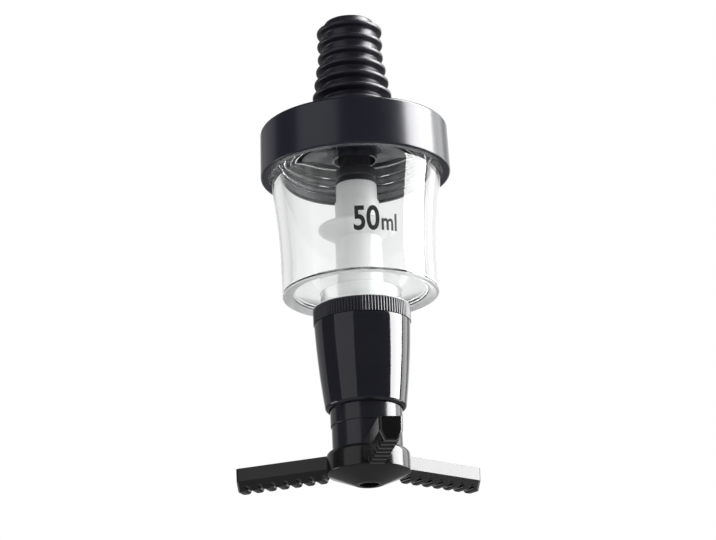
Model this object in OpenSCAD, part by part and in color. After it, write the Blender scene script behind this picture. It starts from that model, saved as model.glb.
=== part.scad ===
/* [Cork] */
// Thickness of rubber between the inlet pipe and the bottom of the upper grooves
cork_wall = 1.55; // [1.4:0.05:3]
// Depth of the grooves between the fins
fin_depth = 1.9; // [1.2:0.1:2.2]
// Number of fins
fin_count = 7; // [5:1:9]
// Number of upper fins that share one diameter
plain_fins = 3; // [2:1:4]
// Diameter that each lower fin gains on the one above it
fin_growth = 1.35; // [0.5:0.05:2]
// Diameter that the core gains with each of those lower fins
core_growth = 0.68; // [0:0.02:0.9]
// Distance from fin to fin
fin_pitch = 4.24; // [3.8:0.02:5.5]
// Thickness of a fin at its rim
fin_rim = 1.2; // [1.1:0.1:1.6]
// Thickness of a fin at its root
fin_root = 1.9; // [1.7:0.1:2.6]
// Rounding of a fin's rim
fin_round = 0.45; // [0.2:0.05:0.5]
// Height of the cork's nose above the middle of the top fin
cork_nose = 3.3; // [2.3:0.1:5]
// How much slimmer the cork is at its top, in radius
nose_taper = 0.6; // [0:0.1:0.8]
// Height of the lowest fin's middle above the cap
cork_rise = 6.7; // [5.4:0.1:10]
// Thickness of the cork's foot above the cap
foot_flange_t = 2.4; // [1.5:0.1:3.4]

/* [Inlet] */
// Bore of the inlet pipe
inlet_bore_d = 10; // [8:0.5:12]
// Wall of the inlet pipe
pipe_wall = 1.5; // [1:0.1:2]
// Overhang of the pipe's clamping flange
pipe_flange_w = 3; // [2:0.25:6]
// Thickness of the pipe's clamping flange
pipe_flange_t = 1.6; // [1:0.1:2.5]
// Thickness of the gasket above that flange
pipe_gasket_t = 1; // [0.5:0.1:2]
// Wall of the inlet port that the valve closes
port_wall = 0.6; // [0.5:0.1:1.5]
// Depth of the port's mouth below the cap's roof
port_drop = 7.3; // [6:0.1:9]
// Thickness of the snap ring that holds the pipe in the cap
clip_t = 1.1; // [0.6:0.1:1.3]

/* [Cap] */
// Height of the cap
cap_h = 15; // [12:0.5:20]
// Wall of the cap's skirt at its lower edge
cap_wall = 2.65; // [2:0.05:4]
// How much narrower the cap is at its top, in radius
cap_draft = 0.35; // [0:0.05:1]
// Thickness of the cap's roof
cap_roof = 2.8; // [2.2:0.1:4]
// Depth of the recess that the cork's foot stands in
cork_recess = 0.6; // [0.3:0.1:1]
// Rounding of the cap's upper edge
cap_edge = 0.9; // [0.3:0.1:2]
// Rounding of the cap's lower edge
cap_lip = 0.6; // [0.2:0.1:1]
// Thickness of the gasket between cap and chamber
cap_gasket_t = 1.2; // [0.6:0.1:2]

/* [Measuring chamber] */
// Outer diameter of the chamber's collar in the cap
chamber_top_d = 51.6; // [46:0.2:60]
// Wall of the clear chamber
chamber_wall = 3.2; // [1.8:0.1:3.6]
// How far the chamber draws in below the cap, in radius
chamber_flare = 2.5; // [1:0.1:4]
// Height of the chamber below the cap
chamber_drop = 37.7; // [30:0.1:45]
// Height of the straight waist above the foot
waist_h = 8.4; // [6:0.2:14]
// Width of the foot's rim
foot_rim = 1; // [0.8:0.1:1.4]
// Width of the foot with the slope inside its rim
foot_w = 2.7; // [1.8:0.1:4]
// Depth of the recess inside the foot
foot_recess = 0.9; // [0.4:0.1:2]
// Thickness of the chamber's floor
floor_t = 1.2; // [1:0.1:4.4]
// Wall of the clear neck under the floor
neck_wall = 3; // [2.4:0.1:4]
// Wall of the neck above the ledge
sump_wall = 1.2; // [0.8:0.1:2]
// Height of bare neck between the foot and the washer
neck_gap = 3.7; // [2.4:0.1:6]

/* [Outlet seal] */
// Width of the rubber seal around the stem
seal_w = 1.95; // [1.4:0.05:3]
// Height of that seal
seal_h = 2.5; // [1.8:0.1:3.5]
// Width of the ledge above the seal
ledge_w = 0.8; // [0.4:0.1:1.2]
// Thickness of that ledge
ledge_t = 0.8; // [0.5:0.1:1.5]
// Length of the gland nut's spigot in the neck
gland_spigot_h = 2; // [1.2:0.1:4]
// Thickness of the gland nut's flange
gland_flange_t = 1.5; // [1:0.1:3]

/* [Barrel] */
// Thickness of the washer on the lock ring
washer_t = 0.5; // [0.4:0.1:2]
// Height of the ribbed part of the lock ring
ring_h = 4.5; // [3:0.1:8]
// Number of ribs round the lock ring
rib_count = 94; // [48:2:120]
// Depth of those ribs
rib_depth = 0.2; // [0.1:0.05:0.4]
// How far the lock ring stands out from the barrel
ring_step = 0.2; // [0:0.05:0.6]
// Wall of the lock ring's spigot inside the barrel
ring_spigot_wall = 0.9; // [0.6:0.1:1.6]
// Length of that spigot
ring_spigot_h = 4.6; // [3:0.1:6]
// Height of the barrel
barrel_h = 26.2; // [23:0.2:34]
// Wall of the barrel round the lock ring's spigot
barrel_top_wall = 1.2; // [0.8:0.05:2.5]
// Wall of the barrel round the plunger at its lower edge
barrel_low_wall = 1.25; // [0.9:0.05:2.5]
// How far the barrel's side bows out
barrel_bulge = 0.3; // [0:0.05:0.8]
// Rounding of the barrel's lower edge
barrel_lip_r = 1.1; // [0.4:0.1:1.3]
// Height of the barrel's own lip under the guide bush
barrel_lip_h = 4.6; // [3:0.1:6]
// Wall of the guide bush
bush_wall = 0.8; // [0.5:0.05:1]

/* [Stem and valve] */
// Stroke of the plunger
travel = 7; // [6:0.1:9]
// Bore of the stem that the drink runs through
stem_bore_d = 10; // [8:0.2:11]
// Wall of the stem
stem_wall = 1.95; // [1.4:0.05:2.6]
// Height of the stem's collar above the splash disc
collar_h = 7.5; // [5:0.1:9]
// How much slimmer the collar is than the stem, in radius
collar_step = 0.3; // [0.1:0.05:0.6]
// Height of the valve sleeve above the collar
valve_sleeve_h = 5.8; // [4:0.1:8]
// How much slimmer the valve sleeve is than the collar, in radius
valve_sleeve_step = 0.5; // [0.2:0.05:1]
// Wall of the valve sleeve
valve_sleeve_wall = 2; // [1.5:0.1:2.5]
// How much slimmer the rubber valve is than its sleeve, in radius
valve_step = 0.15; // [0.1:0.05:1]
// Height of the rubber valve's sealing head
valve_h = 5; // [4:0.1:6]
// Length of the valve's guide pin above its head
pin_h = 6; // [4:0.1:7]
// Overhang of the splash disc
splash_w = 4.95; // [3:0.05:8]
// Thickness of the splash disc at its rim
splash_t = 1.8; // [1.2:0.1:3]
// Height of the cone under the splash disc
splash_cone_h = 2.4; // [1:0.1:4]
// Number of drain windows in the stem
window_count = 4; // [3:1:5]
// Width of a drain window
window_w = 5; // [3:0.1:6]

/* [Spring] */
// Wire of the return spring
wire_d = 0.9; // [0.6:0.05:1.2]
// Number of turns
spring_turns = 8; // [6:1:10]
// Clear space on each side of the spring
spring_side = 0.6; // [0.4:0.05:1]
// Thickness of the slip washer under the spring
slip_t = 0.8; // [0.4:0.1:1.5]

/* [Plunger] */
// Wall of the plunger sleeve
sleeve_wall = 1.55; // [1:0.05:2.5]
// How much slimmer the sleeve is below its step, in radius
sleeve_step = 0.3; // [0.1:0.05:0.6]
// Height of the step above the hub
step_rise = 7.3; // [4:0.1:10]
// Height of the spring's pocket floor above the hub
pocket_rise = 8; // [6:0.1:10]
// Thickness of the stop flange on top of the sleeve
stop_t = 1.9; // [1.2:0.1:3]
// Length of the sleeve's spigot in the hub
sleeve_spigot_h = 3.4; // [2.5:0.1:3.8]
// Wire of the ring that seals the stem in the hub
o_ring_d = 1.4; // [1:0.1:1.6]

/* [Pusher] */
// How far the hub stands out from the sleeve
hub_step = 1.95; // [1:0.05:4]
// Height of the hub's rim, from its shoulder to its lower edge
hub_h = 6.8; // [6:0.1:9]
// Rounding of the hub's shoulder
hub_fillet = 1.9; // [0.5:0.1:1.9]
// Height of the hub's conical nose
hub_nose_h = 3.3; // [3:0.1:6]
// Clear height that is left over the hub at full stroke
hub_clear = 5.4; // [2:0.1:8]
// Bore of the outlet
outlet_bore_d = 5.8; // [5:0.2:8.4]
// Wall of the outlet nozzle
nozzle_wall = 0.7; // [0.5:0.1:1]
// Length of the nozzle below its flange
nozzle_h = 2; // [1.5:0.1:2.5]
// Thickness of the nozzle's flange
nozzle_flange_t = 1.2; // [0.8:0.1:1.6]
// Number of arms
arm_count = 3; // [3:1:4]
// Distance from the axis to an arm's end
arm_reach = 40.8; // [32:0.2:55]
// Width of an arm
arm_w = 7; // [5:0.1:9]
// Width of an arm's toothed underside
arm_low_w = 4.2; // [3:0.1:4.8]
// Height of an arm with its teeth
arm_h = 6.8; // [6:0.1:9]
// Height of an arm's upright side
arm_side_h = 3.9; // [2.5:0.1:4.8]
// Distance of an arm's top below the hub's shoulder
arm_drop = 0.7; // [0.3:0.1:3]
// Number of teeth under an arm
tooth_count = 7; // [4:1:8]
// Depth of those teeth
tooth_depth = 1.6; // [1.2:0.1:2]
// Width of the round-bottomed slots between them
notch_w = 1.4; // [1:0.1:1.8]
// Rounding of a tooth's tip
tooth_tip = 0.8; // [0.2:0.1:1]
// Rounding of an arm's upper edges
arm_round = 0.5; // [0.2:0.1:1.2]

/* [Fits] */
// Radial gap between pieces that are pressed or screwed together
press_gap = 0.05; // [0.02:0.01:0.1]
// Radial gap of sliding pieces
slide_gap = 0.1; // [0.05:0.01:0.2]
// Radial gap of pieces that pass each other freely
free_gap = 0.2; // [0.15:0.01:0.35]
// Gap under the plunger's stop flange at rest
rest_gap = 0.1; // [0.05:0.01:0.2]

/* [Hidden] */
$fn = 96;
arc_steps = 5;
flare_steps = 10;
barrel_steps = 8;
spring_rings = 10;
spring_sides = 6;

// Small fixed sizes
clip_groove = 0.5;
clip_w = 1.6;
clip_play = 0.1;
pin_side = 0.5;
foot_margin = 0.3;
washer_inset = 0.1;
valve_spigot_step = 0.9;
sleeve_spigot_step = 1;
bush_seat_w = 0.5;
nose_rim = 0.4;
arm_bite = 0.4;
sleeve_gap = 0.9;
port_spare = 0.3;
neck_overlap = 1.1;
stop_spare = 1;
window_drop = 0.7;
window_spare = 0.5;
cut_over = 1;

// Radii, from the axis outwards
inlet_r = inlet_bore_d/2;
pipe_r = inlet_r + pipe_wall;
pipe_flange_r = pipe_r + pipe_flange_w;
stem_bore_r = stem_bore_d/2;
stem_r = stem_bore_r + stem_wall;
collar_r = stem_r - collar_step;
valve_sleeve_r = collar_r - valve_sleeve_step;
valve_bore_r = valve_sleeve_r - valve_sleeve_wall;
valve_spigot_r = valve_sleeve_r - valve_spigot_step;
valve_r = valve_sleeve_r - valve_step;
pin_r = min(inlet_r, valve_r) - pin_side;
port_r = valve_r + free_gap;
port_outer_r = port_r + port_wall;
splash_r = stem_r + splash_w;
core_r = pipe_r + press_gap + cork_wall;
foot_flange_r = fin_r(fin_count - 1) + foot_margin;
recess_r = foot_flange_r + free_gap;
chamber_r = chamber_top_d/2;
skirt_r = chamber_r + slide_gap + press_gap;
cap_r = skirt_r + cap_wall;
cap_top_r = cap_r - cap_draft;
waist_r = chamber_r - chamber_flare;
neck_bore_r = stem_r + press_gap + seal_w + press_gap;
ledge_r = neck_bore_r - ledge_w;
neck_r = neck_bore_r + neck_wall;
ring_bore_r = neck_r + slide_gap;
ring_spigot_r = ring_bore_r + ring_spigot_wall;
barrel_top_r = ring_spigot_r + press_gap + barrel_top_wall;
ring_r = barrel_top_r + ring_step;
spring_r = stem_r + spring_side + wire_d/2;
sleeve_bore_r = spring_r + wire_d/2 + spring_side;
sleeve_r = sleeve_bore_r + sleeve_wall;
sleeve_low_r = sleeve_r - sleeve_step;
sleeve_spigot_r = sleeve_low_r - sleeve_spigot_step;
bush_bore_r = sleeve_r + slide_gap;
bush_r = bush_bore_r + bush_wall;
barrel_bore_r = max(neck_r, bush_r + bush_seat_w);
stop_r = barrel_bore_r - free_gap - slide_gap;
lip_bore_r = sleeve_r + free_gap;
barrel_low_r = lip_bore_r + barrel_low_wall;
hub_r = sleeve_low_r + hub_step;
outlet_r = outlet_bore_d/2;
nozzle_r = outlet_r + nozzle_wall;
nose_r = nozzle_r + press_gap + nose_rim;

// Heights, from the top of the cap at zero down to the nose
cork_top_z = cork_rise + (fin_count - 1)*fin_pitch + cork_nose;
roof_z = -cap_roof;
cap_low_z = -cap_h;
rim_z = roof_z - cap_gasket_t;
port_z = roof_z - port_drop;
valve_sleeve_z = port_z - travel - sleeve_gap;
valve_z = valve_sleeve_z + valve_h;
port_top_z = valve_z + travel + port_spare;
collar_z = valve_sleeve_z - valve_sleeve_h;
splash_z = collar_z - collar_h;
foot_z = cap_low_z - chamber_drop;
floor_low_z = foot_z + foot_recess;
floor_z = floor_low_z + floor_t;
washer_z = foot_z - neck_gap;
ring_z = washer_z - washer_t;
barrel_z = ring_z - ring_h;
neck_end_z = barrel_z - neck_overlap;
seal_low_z = neck_end_z + gland_spigot_h;
seal_z = seal_low_z + seal_h;
spring_z = neck_end_z - gland_flange_t;
stop_z = spring_z - travel - stop_spare;
bush_z = stop_z - stop_t - rest_gap;
barrel_low_z = barrel_z - barrel_h;
bush_low_z = barrel_low_z + barrel_lip_h;
hub_z = barrel_low_z - travel - hub_clear;
step_z = hub_z + step_rise;
pocket_z = hub_z + pocket_rise;
slip_z = pocket_z + rest_gap + slip_t;
hub_low_z = hub_z - hub_h;
nose_z = hub_low_z - hub_nose_h;
ledge_z = nose_z + nozzle_h;
stem_low_z = ledge_z + nozzle_flange_t;
o_ring_z = hub_z - sleeve_spigot_h;
o_ring_low_z = o_ring_z - o_ring_d;
window_z = seal_low_z - window_drop;
window_h = travel - seal_h - window_spare;
arm_z = hub_z - arm_drop;

// Pusher arms
arm_root_r = sleeve_spigot_r + press_gap + arm_bite;
tooth_pitch = (arm_reach - hub_r)/tooth_count;
tooth_w = tooth_pitch - notch_w;

// Colours
black_plastic = "#17181c";
black_rubber = "#1d1d20";
milky_white = "#eef0ee";
clear_plastic = [0.85, 0.88, 0.9, 0.35];
steel = "silver";
nylon = "#d8d5c8";

// Points on an arc about [x, z]
function arc(x, z, r, from, to, steps = arc_steps) = [
    for (i = [0:steps]) let (a = from + (to - from)*i/steps) [x + r*cos(a), z + r*sin(a)]
];

// Radius of a cork fin, counted from the top
function fin_r(i) = core_r + fin_depth + max(0, i - plain_fins + 1)*fin_growth/2;

// Radius of the core at that fin
function fin_root_r(i) = core_r + max(0, i - plain_fins + 1)*core_growth/2;

// Height of a cork fin's middle
function fin_z(i) = cork_rise + (fin_count - 1 - i)*fin_pitch;

// Outer radius of the chamber, which draws in below the cap on one long arc
flare_z = cap_low_z;
waist_z = foot_z + waist_h;
flare_arc_r = (pow(flare_z - waist_z, 2) + pow(chamber_flare, 2))/(2*chamber_flare);
function flare_r(z) = waist_r + flare_arc_r - sqrt(pow(flare_arc_r, 2) - pow(z - waist_z, 2));
flare = [for (i = [0:flare_steps]) let (z = flare_z + (waist_z - flare_z)*i/flare_steps) [flare_r(z), z]];

// A flat ring
module ring(inner_r, outer_r, low_z, high_z) {
    translate([0, 0, low_z])
        difference() {
            cylinder(r = outer_r, h = high_z - low_z);
            translate([0, 0, -cut_over])
                cylinder(r = inner_r, h = high_z - low_z + 2*cut_over);
        }
}

// Rubber stopper with rounded fins, pushed onto the pipe and into the bottle's mouth
module bottle_cork() {
    clip_room_r = pipe_r + clip_w + free_gap;
    clip_room_z = -cork_recess + clip_t + free_gap;
    fins = [
        for (i = [0:fin_count - 1])
            let (z = fin_z(i), root = fin_root_r(i), x = fin_r(i) - fin_round)
                each concat(
                    [[root, z + fin_root/2]],
                    arc(x, z + fin_rim/2 - fin_round, fin_round, 75, 0),
                    arc(x, z - fin_rim/2 + fin_round, fin_round, 0, -75),
                    [[root, z - fin_root/2]]
                )
    ];
    color(black_rubber)
        rotate_extrude()
            polygon(concat(
                [[pipe_r + press_gap, cork_top_z]],
                arc(core_r - nose_taper - fin_round, cork_top_z - fin_round, fin_round, 90, 0),
                fins,
                arc(foot_flange_r - fin_round, foot_flange_t - fin_round, fin_round, 90, 0),
                [[foot_flange_r, -cork_recess], [clip_room_r, -cork_recess]],
                [[clip_room_r, clip_room_z], [pipe_r + press_gap, clip_room_z]]
            ));
}

// Pipe from the bottle to the inlet port, with the flange that clamps it under the roof
module inlet_pipe() {
    flange_z = roof_z - pipe_gasket_t;
    groove_r = pipe_r - clip_groove;
    groove_low_z = -cork_recess;
    groove_z = -cork_recess + clip_t + clip_play;
    color(black_plastic)
        rotate_extrude()
            polygon([
                [inlet_r, cork_top_z], [pipe_r, cork_top_z], [pipe_r, groove_z], [groove_r, groove_z],
                [groove_r, groove_low_z], [pipe_r, groove_low_z], [pipe_r, flange_z],
                [pipe_flange_r, flange_z], [pipe_flange_r, flange_z - pipe_flange_t],
                [port_outer_r, flange_z - pipe_flange_t], [port_outer_r, port_z],
                [port_r, port_z], [port_r, port_top_z], [inlet_r, port_top_z]
            ]);
}

// Open snap ring in the pipe's groove, on the roof of the cap
module pipe_clip() {
    clip_opening = 50;
    color(steel)
        rotate([0, 0, clip_opening/2])
            translate([0, 0, -cork_recess])
                rotate_extrude(angle = 360 - clip_opening)
                    translate([pipe_r - clip_groove + press_gap, 0])
                        square([clip_w + clip_groove - press_gap, clip_t]);
}

module pipe_gasket() {
    color(black_rubber)
        ring(pipe_r + press_gap, pipe_flange_r, roof_z - pipe_gasket_t, roof_z);
}

// Screw cap that closes the chamber and carries the bottle
module cap() {
    hole_r = pipe_r + press_gap;
    color(black_plastic)
        rotate_extrude()
            polygon(concat(
                [[hole_r, -cork_recess], [recess_r, -cork_recess], [recess_r, 0]],
                arc(cap_top_r - cap_edge, -cap_edge, cap_edge, 90, 0),
                arc(cap_r - cap_lip, cap_low_z + cap_lip, cap_lip, 0, -90),
                [[skirt_r, cap_low_z], [skirt_r, roof_z], [hole_r, roof_z]]
            ));
}

module cap_gasket() {
    color(black_rubber)
        ring(chamber_r - chamber_wall, chamber_r, rim_z, roof_z);
}

// Clear cup that holds one measure, with the neck that the lock ring screws onto
module measuring_chamber() {
    fillet = 0.8;
    foot_round = 0.6;
    ledge_top_z = seal_z + ledge_t;
    sump_r = neck_r - sump_wall;
    inside_r = waist_r - chamber_wall;
    inner_flare = [for (i = [flare_steps:-1:0]) [flare[i][0] - chamber_wall, flare[i][1]]];
    color(clear_plastic)
        rotate_extrude()
            polygon(concat(
                [[chamber_r, rim_z]],
                flare,
                arc(waist_r - foot_round, foot_z + foot_round, foot_round, 0, -90),
                [[waist_r - foot_rim, foot_z], [waist_r - foot_w, floor_low_z], [neck_r, floor_low_z]],
                [[neck_r, neck_end_z], [neck_bore_r, neck_end_z], [neck_bore_r, seal_z]],
                [[ledge_r, seal_z], [ledge_r, ledge_top_z], [sump_r, ledge_top_z]],
                [[sump_r, floor_z - fillet], [sump_r + fillet, floor_z]],
                arc(inside_r - fillet, floor_z + fillet, fillet, -90, 0),
                inner_flare,
                [[chamber_r - chamber_wall, rim_z]]
            ));
}

// Lip seal round the stem, in the neck of the chamber
module outlet_seal() {
    inner_r = stem_r + press_gap;
    outer_r = neck_bore_r - press_gap;
    lip_w = seal_w/3;
    groove_z = seal_low_z + seal_h/2;
    color(black_rubber)
        rotate_extrude()
            polygon([
                [inner_r, seal_low_z], [outer_r, seal_low_z], [outer_r, seal_z], [outer_r - lip_w, seal_z],
                [(inner_r + outer_r)/2, groove_z], [inner_r + lip_w, seal_z], [inner_r, seal_z]
            ]);
}

// Flanged nut that holds the seal up in the neck and takes the spring's upper end
module gland_nut() {
    slot_w = 2;
    slot_depth = gland_flange_t/2;
    color(nylon)
        difference() {
            union() {
                ring(stem_r + free_gap, neck_bore_r - press_gap, neck_end_z, seal_low_z);
                ring(stem_r + free_gap, neck_r - free_gap, spring_z, neck_end_z);
            }
            for (side = [0, 180])
                rotate([0, 0, side])
                    translate([spring_r + wire_d, -slot_w/2, spring_z - cut_over])
                        cube([neck_r, slot_w, slot_depth + cut_over]);
        }
}

module neck_washer() {
    color(milky_white)
        ring(neck_r + slide_gap, ring_r - washer_inset, ring_z, washer_z);
}

// Ribbed ring that screws onto the neck and carries the barrel on its spigot
module lock_ring() {
    rib_angle = 360/rib_count;
    half_crest = rib_angle/6;
    half_foot = 12*rib_angle/25;
    root_r = ring_r - rib_depth;
    rib = [[-half_foot, root_r], [-half_crest, ring_r], [half_crest, ring_r], [half_foot, root_r]];
    outline = [
        for (i = [0:rib_count - 1], corner = rib)
            let (a = i*rib_angle + corner[0])
                [corner[1]*cos(a), corner[1]*sin(a)]
    ];
    color(black_plastic) {
        difference() {
            translate([0, 0, barrel_z])
                linear_extrude(ring_h)
                    polygon(outline);
            translate([0, 0, barrel_z - cut_over])
                cylinder(r = ring_bore_r, h = ring_h + 2*cut_over);
        }
        ring(ring_bore_r, ring_spigot_r, barrel_z - ring_spigot_h, barrel_z);
    }
}

// Outer sleeve round the spring, bowed and drawn in towards its rounded lower edge
module barrel() {
    side_low_z = barrel_low_z + barrel_lip_r;
    side = [
        for (i = [0:barrel_steps])
            let (t = i/barrel_steps)
                [
                    barrel_top_r + (barrel_low_r - barrel_top_r)*t + 4*barrel_bulge*t*(1 - t),
                    barrel_z + (side_low_z - barrel_z)*t
                ]
    ];
    pocket_r = ring_spigot_r + press_gap;
    pocket_low_z = barrel_z - ring_spigot_h - free_gap;
    color(black_plastic)
        rotate_extrude()
            polygon(concat(
                side,
                arc(barrel_low_r - barrel_lip_r, side_low_z, barrel_lip_r, -15, -90),
                [[lip_bore_r, barrel_low_z], [lip_bore_r, bush_low_z]],
                [[bush_r + press_gap, bush_low_z], [bush_r + press_gap, bush_z]],
                [[barrel_bore_r, bush_z], [barrel_bore_r, pocket_low_z]],
                [[pocket_r, pocket_low_z], [pocket_r, barrel_z]]
            ));
}

// Liner that the plunger slides and turns in
module guide_bush() {
    color(nylon)
        ring(bush_bore_r, bush_r, bush_low_z, bush_z);
}

// Compression spring as one unbroken wire
spring_top = spring_z - rest_gap - wire_d/2;
spring_low = slip_z + rest_gap + wire_d/2;
spring_drop = spring_top - spring_low;
spring_pitch = spring_drop/spring_turns;
echo(str("Spring: gap between turns ", spring_pitch - wire_d, " mm"));

module return_spring() {
    rings = spring_turns*spring_rings;
    // The section is upright, so its width is kept while its height follows the slope
    points = [
        for (i = [0:rings], j = [0:spring_sides - 1])
            let (
                turn = 360*i/spring_rings,
                around = 360*j/spring_sides,
                r = spring_r + wire_d/2*cos(around),
                z = spring_top - spring_drop*i/rings + wire_d/2*sin(around)
            )
                [r*cos(turn), r*sin(turn), z]
    ];
    function corner(i, j) = i*spring_sides + j%spring_sides;
    sides = [
        for (i = [0:rings - 1], j = [0:spring_sides - 1], half = [0, 1])
            half == 0
                ? [corner(i, j), corner(i, j + 1), corner(i + 1, j + 1)]
                : [corner(i, j), corner(i + 1, j + 1), corner(i + 1, j)]
    ];
    first_end = [for (j = [1:spring_sides - 2]) [corner(0, 0), corner(0, j + 1), corner(0, j)]];
    last_end = [for (j = [1:spring_sides - 2]) [corner(rings, 0), corner(rings, j), corner(rings, j + 1)]];
    color(steel)
        polyhedron(points, concat(sides, first_end, last_end));
}

// Loose washer that lets the plunger turn under the spring
module slip_washer() {
    color(steel)
        ring(stem_r + free_gap, sleeve_bore_r - free_gap, pocket_z + rest_gap, slip_z);
}

// Rubber valve that closes the inlet port when the plunger is pushed up
module inlet_valve() {
    round = 0.6;
    groove_depth = 0.4;
    groove_h = valve_h/5;
    groove_z = valve_sleeve_z + 2*groove_h;
    plug_r = valve_bore_r - press_gap;
    plug_h = 4*valve_sleeve_h/5;
    color(black_rubber)
        rotate_extrude()
            polygon(concat(
                [[0, valve_z + pin_h]],
                arc(pin_r - round, valve_z + pin_h - round, round, 90, 0),
                [[pin_r, valve_z]],
                arc(valve_r - round, valve_z - round, round, 90, 0),
                [[valve_r, groove_z], [valve_r - groove_depth, groove_z]],
                [[valve_r - groove_depth, groove_z - groove_h], [valve_r, groove_z - groove_h]],
                [[valve_r, valve_sleeve_z], [plug_r, valve_sleeve_z]],
                [[plug_r, valve_sleeve_z - plug_h], [0, valve_sleeve_z - plug_h]]
            ));
}

// White sleeve that carries the valve, plugged into the stem's collar
module valve_sleeve() {
    spigot_h = 3*collar_h/5;
    color(milky_white)
        rotate_extrude()
            polygon([
                [valve_bore_r, valve_sleeve_z], [valve_sleeve_r, valve_sleeve_z], [valve_sleeve_r, collar_z],
                [valve_spigot_r, collar_z], [valve_spigot_r, collar_z - spigot_h],
                [valve_bore_r, collar_z - spigot_h]
            ]);
}

// White stem: collar, splash disc and the tube with the drain windows
module stem_tube() {
    socket_r = valve_spigot_r + press_gap;
    web_t = 2;
    rim = splash_t/2;
    cone_z = splash_z - splash_t - splash_cone_h;
    color(milky_white)
        difference() {
            rotate_extrude()
                polygon(concat(
                    [[0, window_z], [0, window_z + web_t]],
                    [[socket_r, window_z + web_t], [socket_r, collar_z], [collar_r, collar_z]],
                    [[collar_r, splash_z]],
                    arc(splash_r - rim, splash_z - rim, rim, 90, -60),
                    [[stem_r, cone_z], [stem_r, stem_low_z], [stem_bore_r, stem_low_z]],
                    [[stem_bore_r, window_z]]
                ));
            for (i = [0:window_count - 1])
                rotate([0, 0, 180*(2*i + 1)/window_count])
                    translate([0, -window_w/2, window_z - window_h])
                        cube([stem_r + cut_over, window_w, window_h]);
        }
}

// Black sleeve that slides in the barrel, with the spring's pocket inside
module plunger_sleeve() {
    stem_hole_r = stem_r + press_gap;
    color(black_plastic)
        rotate_extrude()
            polygon([
                [sleeve_bore_r, stop_z], [stop_r, stop_z], [stop_r, stop_z - stop_t],
                [sleeve_r, stop_z - stop_t], [sleeve_r, step_z], [sleeve_low_r, step_z],
                [sleeve_low_r, hub_z], [sleeve_spigot_r, hub_z], [sleeve_spigot_r, o_ring_z],
                [stem_hole_r, o_ring_z], [stem_hole_r, pocket_z], [sleeve_bore_r, pocket_z]
            ]);
}

module stem_o_ring() {
    color(black_rubber)
        translate([0, 0, o_ring_z - o_ring_d/2])
            rotate_extrude()
                translate([stem_r + press_gap + o_ring_d/2, 0])
                    circle(d = o_ring_d, $fn = 24);
}

// One arm along +X: its section along the arm, cut by its side view with the teeth
module arm() {
    section = concat(
        arc(arm_w/2 - arm_round, -arm_round, arm_round, 0, 90),
        arc(arm_round - arm_w/2, -arm_round, arm_round, 90, 180),
        [[-arm_w/2, -arm_side_h], [-arm_low_w/2, -arm_h], [arm_low_w/2, -arm_h], [arm_w/2, -arm_side_h]]
    );
    tip = min(tooth_tip, 0.45*min(tooth_w, 2*tooth_depth - notch_w));
    slot_r = notch_w/2;
    // Each tooth has two rounded corners, and the slot behind it is left out at the hub
    teeth = [
        for (k = [0:tooth_count - 1])
            let (x = arm_reach - k*tooth_pitch, slot_x = x - tooth_w - slot_r)
                each concat(
                    arc(x - tip, tip - arm_h, tip, 0, -90),
                    arc(x - tooth_w + tip, tip - arm_h, tip, -90, -180),
                    k < tooth_count - 1
                        ? arc(slot_x, tooth_depth - slot_r - arm_h, slot_r, 0, 180)
                        : [[x - tooth_w, tooth_depth - arm_h]]
                )
    ];
    side = concat(
        [[arm_root_r, 0], [arm_reach, 0]],
        teeth,
        [[arm_root_r, tooth_depth - arm_h]]
    );
    intersection() {
        translate([arm_root_r, 0, arm_z])
            rotate([90, 0, 90])
                linear_extrude(arm_reach - arm_root_r)
                    polygon(section);
        translate([0, arm_w, arm_z])
            rotate([90, 0, 0])
                linear_extrude(2*arm_w)
                    polygon(side);
    }
}

// Hub with its conical nose and the arms that the glass pushes up
module pusher() {
    socket_r = sleeve_spigot_r + press_gap;
    o_ring_room_r = stem_r + 2*press_gap + o_ring_d;
    stem_hole_r = stem_r + press_gap;
    nozzle_hole_r = nozzle_r + press_gap;
    first_arm = -90;
    color(black_plastic) {
        rotate_extrude()
            polygon(concat(
                [[socket_r, hub_z]],
                arc(hub_r - hub_fillet, hub_z - hub_fillet, hub_fillet, 90, 0),
                [[hub_r, hub_low_z], [nose_r, nose_z], [nozzle_hole_r, nose_z], [nozzle_hole_r, ledge_z]],
                [[stem_hole_r, ledge_z], [stem_hole_r, o_ring_low_z], [o_ring_room_r, o_ring_low_z]],
                [[o_ring_room_r, o_ring_z], [socket_r, o_ring_z]]
            ));
        for (i = [0:arm_count - 1])
            rotate([0, 0, first_arm + 360*i/arm_count])
                arm();
    }
}

// Outlet held between the stem's end and the ledge in the hub
module outlet_nozzle() {
    color(black_plastic)
        rotate_extrude()
            polygon([
                [outlet_r, stem_low_z], [stem_r, stem_low_z], [stem_r, ledge_z],
                [nozzle_r, ledge_z], [nozzle_r, nose_z], [outlet_r, nose_z]
            ]);
}

bottle_cork();
inlet_pipe();
pipe_clip();
pipe_gasket();
cap();
cap_gasket();
measuring_chamber();
outlet_seal();
gland_nut();
neck_washer();
lock_ring();
barrel();
guide_bush();
return_spring();
slip_washer();
inlet_valve();
valve_sleeve();
stem_tube();
plunger_sleeve();
stem_o_ring();
pusher();
outlet_nozzle();
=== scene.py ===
import math
import bmesh
import bpy
from mathutils import Matrix, Vector


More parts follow.
